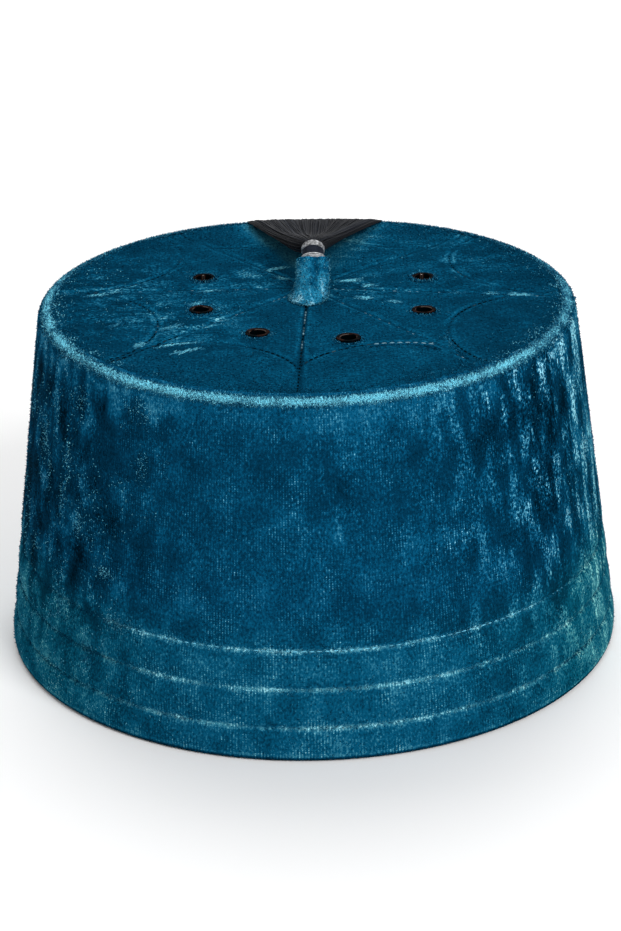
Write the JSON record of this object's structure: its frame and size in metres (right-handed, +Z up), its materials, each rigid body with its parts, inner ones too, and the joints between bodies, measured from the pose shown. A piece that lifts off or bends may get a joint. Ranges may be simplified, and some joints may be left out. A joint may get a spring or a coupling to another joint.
{
  "type": "fez",
  "caption": "Tapered teal velvet fez with a stitched hem, a flat stitched tip with vent eyelets, and a charcoal tassel on a velvet stem that hangs over the back of the rim.",
  "frame": {"origin": "centre of the hat's base, on the surface it rests on", "axes": "+Z up through the crown, -Y the front of the hat, +Y the back where the tassel falls"},
  "size_m": [0.1934, 0.1934, 0.1254],
  "materials": {
    "velvet": "crushed velvet pile",
    "black_metal": "gloss black enamel",
    "charcoal_thread": "silky loose thread",
    "silver_cord": "wound metallic thread"
  },
  "bodies": {
    "root": {"crown_side": "velvet", "crown_tip": "velvet", "eyelet_1": "black_metal", "eyelet_2": "black_metal", "eyelet_3": "black_metal", "eyelet_4": "black_metal", "eyelet_5": "black_metal", "eyelet_6": "black_metal", "tassel_stem": "velvet", "tassel": "charcoal_thread", "neck_cord_near": "silver_cord", "neck_cord_far": "silver_cord"}
  },
  "joints": []
}
